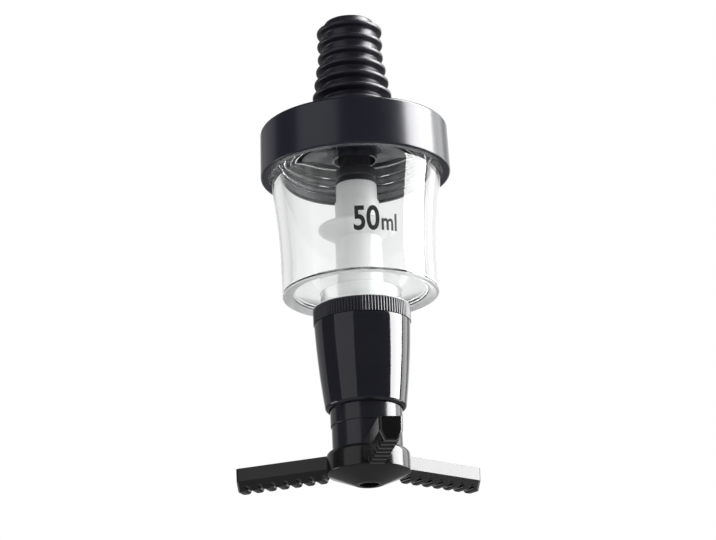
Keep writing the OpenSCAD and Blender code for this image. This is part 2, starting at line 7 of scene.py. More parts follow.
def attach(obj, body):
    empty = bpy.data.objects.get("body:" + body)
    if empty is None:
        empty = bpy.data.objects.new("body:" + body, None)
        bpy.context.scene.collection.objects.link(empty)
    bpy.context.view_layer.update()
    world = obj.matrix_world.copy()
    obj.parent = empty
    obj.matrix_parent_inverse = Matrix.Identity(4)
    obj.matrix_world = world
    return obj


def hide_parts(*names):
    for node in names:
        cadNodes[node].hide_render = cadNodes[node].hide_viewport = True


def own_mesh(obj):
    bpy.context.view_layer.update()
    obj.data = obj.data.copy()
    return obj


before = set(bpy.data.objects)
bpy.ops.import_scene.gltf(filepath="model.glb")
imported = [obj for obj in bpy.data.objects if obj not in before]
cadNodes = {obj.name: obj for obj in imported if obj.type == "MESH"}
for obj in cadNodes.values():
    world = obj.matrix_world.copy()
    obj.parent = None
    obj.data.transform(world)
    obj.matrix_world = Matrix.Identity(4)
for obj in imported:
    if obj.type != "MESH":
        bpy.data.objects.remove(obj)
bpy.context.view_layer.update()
mm = 0.001
weld = 1e-7  # metres
print("frame loaded:", len(cadNodes), "nodes")


# Meshes

def roundCorners(bm, corners, roundings, segments):
    for corner, rounding in zip(corners, roundings):
        if rounding:
            bmesh.ops.bevel(bm, geom=[corner], offset=rounding * mm, offset_type="OFFSET", segments=segments,
                            profile=0.5, affect="VERTICES", material=-1)


def turned(outline, steps, closed=True, segments=4):
    # (radius, height, rounding) in mm: the section is rounded at its corners, then spun once round the axis
    bm = bmesh.new()
    corners = [bm.verts.new((point[0] * mm, 0, point[1] * mm)) for point in outline]
    following = corners[1:] + corners[:1] if closed else corners[1:]
    for corner, after in zip(corners, following):
        bm.edges.new((corner, after))
    roundCorners(bm, corners, [point[2] if len(point) > 2 else 0 for point in outline], segments)
    bmesh.ops.spin(bm, geom=bm.verts[:] + bm.edges[:], cent=(0, 0, 0), axis=(0, 0, 1), angle=math.tau,
                   steps=steps, use_merge=True, use_duplicate=False)
    bmesh.ops.remove_doubles(bm, verts=bm.verts[:], dist=weld)
    bmesh.ops.recalc_face_normals(bm, faces=bm.faces[:])
    return bm


def addObject(name, data):
    made = bpy.data.objects.new(name, data)
    bpy.context.scene.collection.objects.link(made)
    return made


def addPiece(name, bm, body, finish, stands=(), sharp=38):
    mesh = bpy.data.meshes.new(name)
    bm.to_mesh(mesh)
    bm.free()
    mesh.shade_smooth()
    mesh.set_sharp_from_angle(angle=math.radians(sharp))
    piece = addObject(name, mesh)
    mesh.materials.append(finish)
    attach(piece, body)
    if stands:
        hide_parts(*stands)
    return piece


def evenNormals(piece):
    shading = piece.modifiers.new("evenNormals", "WEIGHTED_NORMAL")
    shading.keep_sharp = True
    shading.weight = 80


def softEdges(piece, name, width, crease):
    edges = piece.modifiers.new(name, "BEVEL")
    edges.width = width * mm
    edges.segments = 2
    edges.limit_method = "ANGLE"
    edges.angle_limit = math.radians(crease)
    return edges


# Finishes, all on Object coordinates in metres

def newFinish(name):
    material = bpy.data.materials.new(name)
    material.use_nodes = True
    tree = material.node_tree
    shader = tree.nodes["Principled BSDF"]
    place = tree.nodes.new("ShaderNodeTexCoord").outputs["Object"]
    return material, tree, shader, place


def feed(tree, socket, value):
    # value is a number or another node's output
    if isinstance(value, (int, float)):
        socket.default_value = value
    else:
        tree.links.new(value, socket)


def maths(tree, operation, *values):
    node = tree.nodes.new("ShaderNodeMath")
    node.operation = operation
    for socket, value in zip(node.inputs, values):
        feed(tree, socket, value)
    return node.outputs["Value"]


def noise(tree, place, scale, detail, stretch=None):
    if stretch:
        mapping = tree.nodes.new("ShaderNodeMapping")
        mapping.inputs["Scale"].default_value = stretch
        tree.links.new(place, mapping.inputs["Vector"])
        place = mapping.outputs["Vector"]
    texture = tree.nodes.new("ShaderNodeTexNoise")
    texture.inputs["Scale"].default_value = scale
    texture.inputs["Detail"].default_value = detail
    tree.links.new(place, texture.inputs["Vector"])
    return texture.outputs["Fac"]


def span(tree, value, fromLow, fromHigh, toLow, toHigh):
    node = tree.nodes.new("ShaderNodeMapRange")
    limits = {"From Min": fromLow, "From Max": fromHigh, "To Min": toLow, "To Max": toHigh}
    for socket, number in limits.items():
        node.inputs[socket].default_value = number
    tree.links.new(value, node.inputs["Value"])
    return node.outputs["Result"]


def blendColours(tree, share, first, second):
    node = tree.nodes.new("ShaderNodeMix")
    node.data_type = "RGBA"
    colours = [socket for socket in node.inputs if socket.type == "RGBA"]
    for socket, colour in zip(colours, (first, second)):
        socket.default_value = (*colour, 1)
    tree.links.new(share, node.inputs["Factor"])
    return [socket for socket in node.outputs if socket.type == "RGBA"][0]


def bump(tree, shader, height, distance, strength, under=None):
    node = tree.nodes.new("ShaderNodeBump")
    node.inputs["Distance"].default_value = distance
    node.inputs["Strength"].default_value = strength
    tree.links.new(height, node.inputs["Height"])
    if under:
        tree.links.new(under, node.inputs["Normal"])
    tree.links.new(node.outputs["Normal"], shader.inputs["Normal"])
    return node.outputs["Normal"]


# what all mouldings share: where in each noise the change lies, the noise's detail and the bump's strength
moulding = {
    "cloud": (0.35, 0.7), "cloudDetail": 4, "grain": (0.3, 0.7), "grainDetail": 2, "grainStrength": 0.6,
    "wear": (0.55, 0.75), "streakDetail": 3, "waveDetail": 1, "waveStrength": 0.5,
}


def mouldedFinish(name, look):
    material, tree, shader, place = newFinish(name)
    cloud = noise(tree, place, look["cloudScale"], moulding["cloudDetail"])
    paleTone = span(tree, cloud, *moulding["cloud"], 0, 1)
    tree.links.new(blendColours(tree, paleTone, look["colour"], look["paleTone"]), shader.inputs["Base Color"])
    grain = noise(tree, place, look["grainScale"], moulding["grainDetail"])
    streak = noise(tree, place, look["streakScale"], moulding["streakDetail"], look["streakStretch"])
    wear = span(tree, streak, *moulding["wear"], 0, 1)
    rough = span(tree, grain, *moulding["grain"], *look["roughness"])
    worn = maths(tree, "MULTIPLY_ADD", wear, look["streakRough"], rough)
    tree.links.new(worn, shader.inputs["Roughness"])
    wave = noise(tree, place, look["waveScale"], moulding["waveDetail"])
    under = bump(tree, shader, wave, look["waveDepth"], moulding["waveStrength"])
    bump(tree, shader, grain, look["grainDepth"], moulding["grainStrength"], under)
    shader.inputs["IOR"].default_value = look["ior"]
    return material


corkFinish = mouldedFinish("corkRubber", {
    "colour": (0.016, 0.0155, 0.026), "paleTone": (0.021, 0.0205, 0.033), "cloudScale": 90,
    "grainScale": 2600, "grainDepth": 0.00003, "roughness": (0.27, 0.38),
    "streakScale": 60, "streakStretch": (1, 1, 6), "streakRough": 0.08,
    "waveScale": 150, "waveDepth": 0.0002, "ior": 1.5,
})
capFinish = mouldedFinish("capPlastic", {
    "colour": (0.016, 0.0175, 0.029), "paleTone": (0.0195, 0.021, 0.0335), "cloudScale": 45,
    "grainScale": 3200, "grainDepth": 0.00001, "roughness": (0.2, 0.26),
    "streakScale": 80, "streakStretch": (1, 1, 1), "streakRough": 0.02,
    "waveScale": 60, "waveDepth": 0.00004, "ior": 1.52,
})
# black inside of the cap with pale cloudy patches: the pale tone is painted reflection of light seen through
# the chamber
capPaintedReflectionFinish = mouldedFinish("capPaintedReflection", {
    "colour": (0.06, 0.062, 0.068), "paleTone": (0.7, 0.71, 0.73), "cloudScale": 60,
    "grainScale": 2200, "grainDepth": 0.00003, "roughness": (0.3, 0.4),
    "streakScale": 60, "streakStretch": (1, 1, 4), "streakRough": 0.1,
    "waveScale": 90, "waveDepth": 0.0002, "ior": 1.52,
})
barrelLook = {
    "colour": (0.017, 0.0175, 0.024), "paleTone": (0.02, 0.0205, 0.027), "cloudScale": 60,
    "grainScale": 2500, "grainDepth": 0.000004, "roughness": (0.05, 0.09),
    "streakScale": 120, "streakStretch": (6, 6, 1), "streakRough": 0.05,
    "waveScale": 110, "waveDepth": 0.00012, "ior": 1.53,
}
barrelFinish = mouldedFinish("barrelPlastic", barrelLook)
sleeveFinish = mouldedFinish("sleevePlastic", {  # the barrel's plastic, dulled by sliding
    **barrelLook, "grainDepth": 0.000008, "roughness": (0.15, 0.21), "streakRough": 0.06,
})
hubFinish = mouldedFinish("hubPlastic", {
    "colour": (0.007, 0.0073, 0.008), "paleTone": (0.0105, 0.0108, 0.0115), "cloudScale": 80,
    "grainScale": 2800, "grainDepth": 0.000012, "roughness": (0.13, 0.2),
    "streakScale": 90, "streakStretch": (2, 2, 2), "streakRough": 0.1,
    "waveScale": 130, "waveDepth": 0.00012, "ior": 1.52,
})
sealFinish = mouldedFinish("sealRubber", {
    "colour": (0.013, 0.0135, 0.019), "paleTone": (0.017, 0.0175, 0.023), "cloudScale": 160,
    "grainScale": 3000, "grainDepth": 0.00003, "roughness": (0.4, 0.55),
    "streakScale": 150, "streakStretch": (1, 1, 5), "streakRough": 0.05,
    "waveScale": 200, "waveDepth": 0.0001, "ior": 1.5,
})
nylonFinish = mouldedFinish("nylonPlain", {
    "colour": (0.62, 0.6, 0.51), "paleTone": (0.7, 0.68, 0.6), "cloudScale": 120,
    "grainScale": 2400, "grainDepth": 0.00002, "roughness": (0.38, 0.5),
    "streakScale": 100, "streakStretch": (1, 1, 4), "streakRough": 0.05,
    "waveScale": 150, "waveDepth": 0.0001, "ior": 1.53,
})
inkFinish = mouldedFinish("markInk", {
    "colour": (0.012, 0.013, 0.014), "paleTone": (0.03, 0.031, 0.032), "cloudScale": 700,
    "grainScale": 5000, "grainDepth": 0.00001, "roughness": (0.4, 0.6),
    "streakScale": 300, "streakStretch": (1, 1, 1), "streakRough": 0.05,
    "waveScale": 500, "waveDepth": 0.00002, "ior": 1.45,
})


def milkyFinish(name, look):
    material = mouldedFinish(name, look)
    shader = material.node_tree.nodes["Principled BSDF"]
    shader.inputs["Subsurface Weight"].default_value = look["glow"]
    shader.inputs["Subsurface Radius"].default_value = look["glowColour"]
    shader.inputs["Subsurface Scale"].default_value = look["glowDepth"]
    shader.inputs["Specular IOR Level"].default_value = look["sheen"]
    return material


stemFinish = milkyFinish("stemPlastic", {
    "colour": (0.86, 0.87, 0.86), "paleTone": (0.9, 0.91, 0.9), "cloudScale": 90,
    "grainScale": 2000, "grainDepth": 0.00001, "roughness": (0.24, 0.34),
    "streakScale": 100, "streakStretch": (1, 1, 5), "streakRough": 0.06,
    "waveScale": 90, "waveDepth": 0.0001, "ior": 1.48, "sheen": 0.18,
    "glow": 0.25, "glowColour": (1, 1, 0.95), "glowDepth": 0.0015,
})


def steelFinish(name, look):
    material, tree, shader, place = newFinish(name)
    line = noise(tree, place, look["lineScale"], look["lineDetail"], look["lineStretch"])
    tree.links.new(blendColours(tree, line, look["dark"], look["bright"]), shader.inputs["Base Color"])
    tree.links.new(span(tree, line, *look["line"], *look["roughness"]), shader.inputs["Roughness"])
    bump(tree, shader, line, look["lineDepth"], look["lineStrength"])
    shader.inputs["Metallic"].default_value = 1
    return material


wireFinish = steelFinish("springSteel", {
    "dark": (0.42, 0.42, 0.43), "bright": (0.62, 0.62, 0.62), "roughness": (0.2, 0.36), "line": (0.3, 0.7),
    "lineScale": 900, "lineDetail": 4, "lineStretch": (1, 1, 12), "lineDepth": 0.00001, "lineStrength": 0.4,
})

# what the chamber's three finishes share
clearLook = {
    "shade": (0.9, 0.91, 0.91), "ior": 1.49, "sheen": 0.5,
    "waveScale": 60, "waveDetail": 1, "waveStretch": (1, 1, 0.5), "waveStrength": 0.5,
    "ringScale": 900, "ringDetail": 2, "ringStretch": (1, 1, 1), "ringStrength": 0.4,
}


def clearFinish(name, look):
    material, tree, shader, place = newFinish(name)
    shader.inputs["Base Color"].default_value = (*look["colour"], 1)
    shader.inputs["Transmission Weight"].default_value = look["clear"]
    shader.inputs["Roughness"].default_value = look["roughness"]
    shader.inputs["IOR"].default_value = look["ior"]
    shader.inputs["Specular IOR Level"].default_value = look["sheen"]
    wave = noise(tree, place, look["waveScale"], look["waveDetail"], look["waveStretch"])
    ring = noise(tree, place, look["ringScale"], look["ringDetail"], look["ringStretch"])
    under = bump(tree, shader, wave, look["waveDepth"], look["waveStrength"])
    bump(tree, shader, ring, look["ringDepth"], look["ringStrength"], under)
    light = tree.nodes.new("ShaderNodeLightPath")  # lamps shine through, a little dimmed
    passing = tree.nodes.new("ShaderNodeBsdfTransparent")
    passing.inputs["Color"].default_value = (*look["shade"], 1)
    either = tree.nodes.new("ShaderNodeMixShader")
    tree.links.new(light.outputs["Is Shadow Ray"], either.inputs["Fac"])
    tree.links.new(shader.outputs["BSDF"], either.inputs[1])
    tree.links.new(passing.outputs["BSDF"], either.inputs[2])
    tree.links.new(either.outputs["Shader"], tree.nodes["Material Output"].inputs["Surface"])
    return material


chamberFinish = clearFinish("clearPlastic", {
    **clearLook, "colour": (0.985, 0.99, 0.99), "clear": 1, "roughness": 0.0, "waveDepth": 0.00001,
    "ringScale": 300, "ringStretch": (0.1, 0.1, 1), "ringDepth": 0.000002,
})
frostedFinish = clearFinish("frostedRim", {
    **clearLook, "colour": (0.97, 0.975, 0.975), "clear": 0.45, "roughness": 0.5, "waveDepth": 0.00008,
    "ringDepth": 0.00001,
})
satinFinish = clearFinish("satinNeck", {
    **clearLook, "colour": (0.98, 0.985, 0.985), "clear": 0.9, "roughness": 0.22, "waveDepth": 0.00003,
    "ringDepth": 0.000005,
})
print("finishes made")


# Cork

cork = {
    "bore": 6.55, "boreRound": 0.3, "core": 8.1, "coreGrowth": 0.34, "depth": 1.9, "count": 7, "plain": 3,
    "growth": 0.675, "pitch": 4.24, "lowest": 6.7, "rim": 1.2, "root": 1.9, "round": 0.45, "valley": 0.5,
    "top": 35.44, "topRound": 0.7, "taper": 0.6, "footRadius": 13.0, "footTop": 2.4, "footLow": -0.6,
    "footRound": 0.9, "clipRoom": (8.3, 0.7), "steps": 144,
}


def corkOutline(c):
    outline = [(c["bore"], c["top"], c["boreRound"]), (c["core"] - c["taper"], c["top"], c["topRound"])]
    for i in range(c["count"]):
        lower = max(0, i - c["plain"] + 1)
        radius = c["core"] + c["depth"] + lower * c["growth"]
        core = c["core"] + lower * c["coreGrowth"]
        middle = c["lowest"] + (c["count"] - 1 - i) * c["pitch"]
        outline += [
            (core, middle + c["root"] / 2, c["valley"]), (radius, middle + c["rim"] / 2, c["round"]),
            (radius, middle - c["rim"] / 2, c["round"]), (core, middle - c["root"] / 2, c["valley"]),
        ]
    room, roomTop = c["clipRoom"]
    outline += [(c["footRadius"], c["footTop"], c["footRound"]), (c["footRadius"], c["footLow"])]
    return outline + [(room, c["footLow"]), (room, roomTop), (c["bore"], roomTop)]


addPiece("cork_fins", turned(corkOutline(cork), cork["steps"]), "housing", corkFinish,
         ("bottle_cork",))


# Cap

cap = {
    "hole": cork["bore"], "recess": 13.2, "recessFloor": cork["footLow"], "recessRound": 0.15,
    "topRadius": 28.25, "lowRadius": 28.6, "low": -15.0, "skirt": 25.95, "roof": -2.8,
    "edge": 0.9, "lip": 0.7, "innerLip": 0.5, "slack": 0.01, "steps": 192,
}


def capOutline(c):
    return [
        (c["hole"], c["recessFloor"]), (c["recess"], c["recessFloor"]), (c["recess"], 0, c["recessRound"]),
        (c["topRadius"], 0, c["edge"]), (c["lowRadius"], c["low"], c["lip"]),
        (c["skirt"], c["low"], c["innerLip"]), (c["skirt"], c["roof"]), (c["hole"], c["roof"]),
    ]


capPiece = addPiece("cap_shell", turned(capOutline(cap), cap["steps"]), "housing", capFinish,
                    ("cap",))
capPiece.data.materials.append(capPaintedReflectionFinish)
for face in capPiece.data.polygons:  # the inside is unpolished, and the pale cloudy patches on it are painted reflection
    below = face.center.z < (cap["roof"] + cap["slack"]) * mm
    if below and face.center.xy.length < (cap["skirt"] + cap["slack"]) * mm:
        face.material_index = 1
evenNormals(capPiece)


# Clear chamber

chamber = {
    "collar": 25.8, "wall": 3.2, "rim": -4.0, "rimRound": 0.4, "flareTop": cap["low"], "flare": 2.5,
    "waist": 23.3, "waistTop": -44.3, "flareSteps": 16, "foot": -52.7, "footRound": 0.6, "footRim": 1.0,
    "footWidth": 2.7, "footFrost": 3.3, "footEdge": 0.1, "under": -51.8, "floor": -50.6, "floorRound": 0.6,
    "neck": 12.0, "neckRound": 0.15, "neckEnd": -62.5, "neckEdge": 0.2, "bore": 9.0, "boreEdge": 0.1,
    "sealTop": -58.0, "ledge": 8.2, "ledgeTop": -57.2, "ledgeEdge": 0.1,
    "sump": 10.8, "sumpRound": 0.3, "sumpEdge": 0.4,
    "threads": 3, "threadTop": -6.2, "threadPitch": 2.8, "threadDepth": 0.6, "threadCrest": 0.7,
    "threadFoot": 1.9, "threadRound": 0.15, "steps": 192,
    "frostSlack": 0.01, "satinDrop": 0.2, "satinSlack": 0.05,
}


def chamberRadius(c, z):
    # the side draws in from the cap to the waist on one long arc
    drop = c["flareTop"] - c["waistTop"]
    bend = (drop ** 2 + c["flare"] ** 2) / (2 * c["flare"])
    return c["waist"] + bend - math.sqrt(bend ** 2 - (z - c["waistTop"]) ** 2)


def chamberOutline(c):
    drop = c["flareTop"] - c["waistTop"]
    heights = [c["flareTop"] - drop * i / c["flareSteps"] for i in range(c["flareSteps"] + 1)]
    side = [(chamberRadius(c, z), z) for z in heights]
    inner = [(radius - c["wall"], z) for radius, z in reversed(side)]
    threadRoot = c["collar"] - c["threadDepth"]
    threads = []
    for i in range(c["threads"]):  # rings in place of the screw that the cap turns on
        middle = c["threadTop"] - i * c["threadPitch"]
        foot, crest = c["threadFoot"] / 2, c["threadCrest"] / 2
        for radius, z in ((threadRoot, middle + foot), (c["collar"], middle + crest),
                          (c["collar"], middle - crest), (threadRoot, middle - foot)):
            threads.append((radius, z, c["threadRound"]))
    return [(threadRoot, c["rim"], c["rimRound"])] + threads + side + [
        (c["waist"], c["foot"], c["footRound"]), (c["waist"] - c["footRim"], c["foot"], c["footEdge"]),
        (c["waist"] - c["footWidth"], c["under"], c["footEdge"]), (c["waist"] - c["footFrost"], c["under"]),
        (c["neck"], c["under"], c["neckRound"]), (c["neck"], c["neckEnd"], c["neckEdge"]),
        (c["bore"], c["neckEnd"], c["boreEdge"]), (c["bore"], c["sealTop"]),
        (c["ledge"], c["sealTop"], c["ledgeEdge"]), (c["ledge"], c["ledgeTop"], c["ledgeEdge"]),
        (c["sump"], c["ledgeTop"], c["sumpRound"]), (c["sump"], c["floor"], c["sumpEdge"]),
        (c["waist"] - c["wall"], c["floor"], c["floorRound"]),
    ] + inner + [(c["collar"] - c["wall"], c["rim"], c["rimRound"])]


chamberPiece = addPiece("clear_chamber", turned(chamberOutline(chamber), chamber["steps"]), "housing",
                        chamberFinish, ("measuring_chamber",))
chamberPiece.data.materials.append(frostedFinish)
chamberPiece.data.materials.append(satinFinish)
frostTop = (chamber["under"] + chamber["frostSlack"]) * mm
frostInside = (chamber["waist"] - chamber["footFrost"]) * mm
satinTop = (chamber["under"] - chamber["satinDrop"]) * mm
for face in chamberPiece.data.polygons:  # the rim that the chamber stands on is frosted, the neck satin
    across = face.center.xy.length
    if face.center.z < frostTop and across > frostInside:
        face.material_index = 1
    elif face.center.z < satinTop and abs(across - chamber["neck"] * mm) < chamber["satinSlack"] * mm:
        face.material_index = 2


# Capacity mark, plain numerals printed on the chamber

mark = {
    "words": (("50", 10.1, 0.8, 0.24), ("ml", 7.2, 0.74, 0.17)), "gap": 0.6, "angle": -86.6, "low": -39.8,
    "radius": 23.98, "ink": 0.03, "lift": 0.02, "slice": 0.5, "weld": 1e-4,
}


def flatText(words, size, bold):
    curve = bpy.data.curves.new("markCurve", "FONT")
    curve.body = words
    curve.size = size
    curve.offset = bold
    holder = addObject("markHolder", curve)
    depsgraph = bpy.context.evaluated_depsgraph_get()
    mesh = bpy.data.meshes.new_from_object(holder.evaluated_get(depsgraph))
    bpy.data.objects.remove(holder)
    return mesh


def markMesh(m):
    # each word has its size, its narrowing and how much bolder it is drawn, in mm
    bm = bmesh.new()
    start = 0
    for words, size, narrow, bold in m["words"]:
        mesh = flatText(words, size, bold)
        before = set(bm.verts)
        bm.from_mesh(mesh)
        bpy.data.meshes.remove(mesh)
        added = [v for v in bm.verts if v not in before]
        bmesh.ops.scale(bm, verts=added, vec=(narrow, 1, 1))
        left = min(v.co.x for v in added)
        bmesh.ops.translate(bm, verts=added, vec=(start - left, 0, 0))
        start = max(v.co.x for v in added) + m["gap"]
    bmesh.ops.remove_doubles(bm, verts=bm.verts[:], dist=m["weld"])
    width = start - m["gap"]
    for i in range(1, int(width / m["slice"])):  # thin slices, so that the print can follow the curve
        bmesh.ops.bisect_plane(bm, geom=bm.verts[:] + bm.edges[:] + bm.faces[:],
                               plane_co=(i * m["slice"], 0, 0), plane_no=(1, 0, 0))
    return bm, width


markBm, markWidth = markMesh(mark)
for vert in markBm.verts:
    height = vert.co.y + mark["low"]
    around = math.radians(mark["angle"]) + (vert.co.x - markWidth / 2) / mark["radius"]
    radius = chamberRadius(chamber, height) + mark["lift"]
    vert.co = Vector((radius * math.cos(around), radius * math.sin(around), height)) * mm
for face in markBm.faces:
    face.normal_update()
    middle = face.calc_center_median()
    if face.normal.dot(Vector((middle.x, middle.y, 0))) < 0:
        face.normal_flip()
bmesh.ops.solidify(markBm, geom=markBm.faces[:], thickness=-mark["ink"] * mm)
addPiece("capacity_mark", markBm, "housing", inkFinish)
print("cork, cap and chamber made")


# White washer, lock ring and barrel

washer = {
    "bore": 12.1, "boreRound": 0.1, "radius": 14.35, "rimRound": 0.2, "top": -56.4, "low": -56.9,
    "steps": 128,
}


def washerOutline(w):
    return [
        (w["bore"], w["top"], w["boreRound"]), (w["radius"], w["top"], w["rimRound"]),
        (w["radius"], w["low"], w["rimRound"]), (w["bore"], w["low"], w["boreRound"]),
    ]


addPiece("neck_washer_ring", turned(washerOutline(washer), washer["steps"]), "housing",
         stemFinish, ("neck_washer",))

lockRing = {
    "ribs": 94, "radius": 14.45, "depth": 0.2, "top": washer["low"], "low": -61.4, "bore": washer["bore"],
    "spigot": 13.0, "spigotLow": -66.0, "soft": 0.03, "crease": 30,
    "rib": ((-0.48, 1), (-0.32, 0.4), (-0.14, 0), (0.14, 0), (0.32, 0.4), (0.48, 1)),  # of pitch and depth
}


def growRing(bm, edges, height, radius=None):
    # pulls a ring of edges to another height, onto a circle where a radius is given, and returns the new ring
    grown = bmesh.ops.extrude_edge_only(bm, edges=edges)["geom"]
    ends = {part for part in grown if isinstance(part, bmesh.types.BMVert)}
    for vert in ends:
        if radius:
            vert.co = Vector((vert.co.x, vert.co.y, 0)).normalized() * (radius * mm)
        vert.co.z = height * mm
    return [part for part in grown if isinstance(part, bmesh.types.BMEdge) and ends.issuperset(part.verts)]


def lockRingMesh(r):
    # every rib is a few corners of one circle, drawn in towards the root on either side of its crest
    bm = bmesh.new()
    corners = len(r["rib"])
    made = bmesh.ops.create_circle(bm, segments=corners * r["ribs"], radius=r["radius"] * mm)
    circle = sorted(made["verts"], key=lambda v: math.atan2(v.co.y, v.co.x))
    for i, vert in enumerate(circle):
        share, drop = r["rib"][i % corners]
        angle = (i // corners + share) * math.tau / r["ribs"]
        radius = r["radius"] - drop * r["depth"]
        vert.co = Vector((radius * math.cos(angle), radius * math.sin(angle), r["top"])) * mm
    rim = bm.edges[:]
    topEdges = growRing(bm, rim, r["top"], r["bore"])
    lowEdges = growRing(bm, rim, r["low"])
    for radius, height in ((r["spigot"], r["low"]), (r["spigot"], r["spigotLow"]),
                           (r["bore"], r["spigotLow"])):
        lowEdges = growRing(bm, lowEdges, height, radius)
    bmesh.ops.bridge_loops(bm, edges=topEdges + lowEdges)
    bmesh.ops.recalc_face_normals(bm, faces=bm.faces[:])
    return bm


lockRingPiece = addPiece("lock_ring_ribs", lockRingMesh(lockRing), "housing", barrelFinish,
                         ("lock_ring",), lockRing["crease"])
softEdges(lockRingPiece, "ribEdges", lockRing["soft"], lockRing["crease"])

barrel = {
    "top": lockRing["low"], "topRadius": 14.25, "topRound": 0.2, "low": -87.6, "lowRadius": 12.05,
    "bulge": 0.3, "sideSteps": 20, "lip": 1.1, "lipDraft": 0.12, "lipRound": 0.85, "lipBore": 10.8,
    "lipEdge": 0.2, "bushLow": -83.0, "bushRadius": 11.55, "bushTop": -74.0, "bore": 12.0, "pocketLow": -66.2,
    "pocket": 13.05, "pocketEdge": 0.1, "segments": 6, "steps": 192,
}


def barrelOutline(b):
    sideLow = b["low"] + b["lip"]
    shares = [i / b["sideSteps"] for i in range(1, b["sideSteps"] + 1)]
    side = [(b["topRadius"] + (b["lowRadius"] - b["topRadius"]) * t + 4 * b["bulge"] * t * (1 - t),
             b["top"] + (sideLow - b["top"]) * t) for t in shares]
    end = side[-1][0] - b["lipDraft"]
    return [(b["topRadius"], b["top"], b["topRound"])] + side + [
        (end, b["low"], b["lipRound"]), (b["lipBore"], b["low"], b["lipEdge"]), (b["lipBore"], b["bushLow"]),
        (b["bushRadius"], b["bushLow"]), (b["bushRadius"], b["bushTop"]), (b["bore"], b["bushTop"]),
        (b["bore"], b["pocketLow"]), (b["pocket"], b["pocketLow"]), (b["pocket"], b["top"], b["pocketEdge"]),
    ]


barrelBm = turned(barrelOutline(barrel), barrel["steps"], segments=barrel["segments"])
addPiece("barrel_shell", barrelBm, "housing", barrelFinish, ("barrel",))
print("lock ring and barrel made")


# Plunger: sleeve, pusher, nozzle

sleeve = {
    "bore": 9.05, "topRound": 0.3, "stop": 11.7, "stopTop": -72.0, "stopLow": -73.9, "stopEdge": 0.2,
    "radius": 10.6, "step": -92.7, "stepRound": 0.22, "lowRadius": 10.3, "stepRoot": 0.06, "hub": -100.0,
    "spigot": 9.3, "spigotLow": -103.4, "spigotEdge": 0.2, "stemHole": 7.0, "holeEdge": 0.1,
    "pocket": -92.0, "pocketRound": 0.3, "steps": 160,
}


def sleeveOutline(s):
    return [
        (s["bore"], s["stopTop"], s["topRound"]), (s["stop"], s["stopTop"], s["topRound"]),
        (s["stop"], s["stopLow"], s["stopEdge"]), (s["radius"], s["stopLow"], s["stopEdge"]),
        (s["radius"], s["step"], s["stepRound"]), (s["lowRadius"], s["step"], s["stepRoot"]),
        (s["lowRadius"], s["hub"]), (s["spigot"], s["hub"]), (s["spigot"], s["spigotLow"], s["spigotEdge"]),
        (s["stemHole"], s["spigotLow"], s["spigotEdge"]), (s["stemHole"], s["pocket"], s["holeEdge"]),
        (s["bore"], s["pocket"], s["pocketRound"]),
    ]


sleevePiece = addPiece("plunger_tube", turned(sleeveOutline(sleeve), sleeve["steps"]), "plunger",
                       sleeveFinish, ("plunger_sleeve",))
evenNormals(sleevePiece)

hub = {
    "socket": 9.35, "socketEdge": 0.15, "top": sleeve["hub"], "radius": 12.25, "shoulder": 1.9, "low": -106.8,
    "lowEdge": 0.35, "nose": 4.05, "noseLow": -110.1, "noseEdge": 0.3, "nozzleHole": 3.65, "ledge": -108.1,
    "stemHole": sleeve["stemHole"], "ringRoom": 8.45, "ringLow": -104.8, "ringTop": sleeve["spigotLow"],
    "segments": 6, "steps": 160,
}
arm = {
    "count": 3, "first": -90, "root": 9.75, "reach": 40.8, "top": -100.7, "width": 7.0, "draft": 0.1,
    "lowWidth": 4.2, "height": 6.8, "side": 3.9, "teeth": 7, "teethStart": hub["radius"], "toothDepth": 1.6,
    "notch": 1.4, "notchFlat": 0.01, "tip": 0.8, "outerTip": 0.45, "endRound": 1.2, "endFlat": 0.25,
    "endSteps": 6, "segments": 6, "soft": 0.13, "crease": 20,
}


def hubOutline(h):
    return [
        (h["socket"], h["top"], h["socketEdge"]), (h["radius"], h["top"], h["shoulder"]),
        (h["radius"], h["low"], h["lowEdge"]), (h["nose"], h["noseLow"], h["noseEdge"]),
        (h["nozzleHole"], h["noseLow"]), (h["nozzleHole"], h["ledge"]), (h["stemHole"], h["ledge"]),
        (h["stemHole"], h["ringLow"]), (h["ringRoom"], h["ringLow"]), (h["ringRoom"], h["ringTop"]),
        (h["socket"], h["ringTop"]),
    ]


def armView(a):
    # side view of one arm along +X, with a rounding for each corner
    # teeth and slots alternate from the end inwards
    pitch = (a["reach"] - a["teethStart"]) / a["teeth"]
    slotRound = a["notch"] / 2 - a["notchFlat"]
    root = a["toothDepth"] - a["height"]
    view = [(a["root"], 0, 0), (a["reach"], 0, 0)]
    for i in range(a["teeth"]):
        outer = a["reach"] - i * pitch
        inner = outer - pitch + a["notch"]
        outerTip = a["outerTip"] if i == 0 else a["tip"]
        view += [(outer, -a["height"], outerTip), (inner, -a["height"], a["tip"]),
                 (inner, root, slotRound), (inner - a["notch"], root, slotRound)]
    return view[:-1] + [(a["root"], root, 0)]


def cutNew(bm, before, place, across):
    # cuts what was added since before along one plane, and keeps both sides
    geom = {v for v in bm.verts if v not in before}
    for vert in list(geom):
        geom.update(vert.link_edges)
        geom.update(vert.link_faces)
    bmesh.ops.bisect_plane(bm, geom=list(geom), plane_co=Vector(place) * mm, plane_no=across)


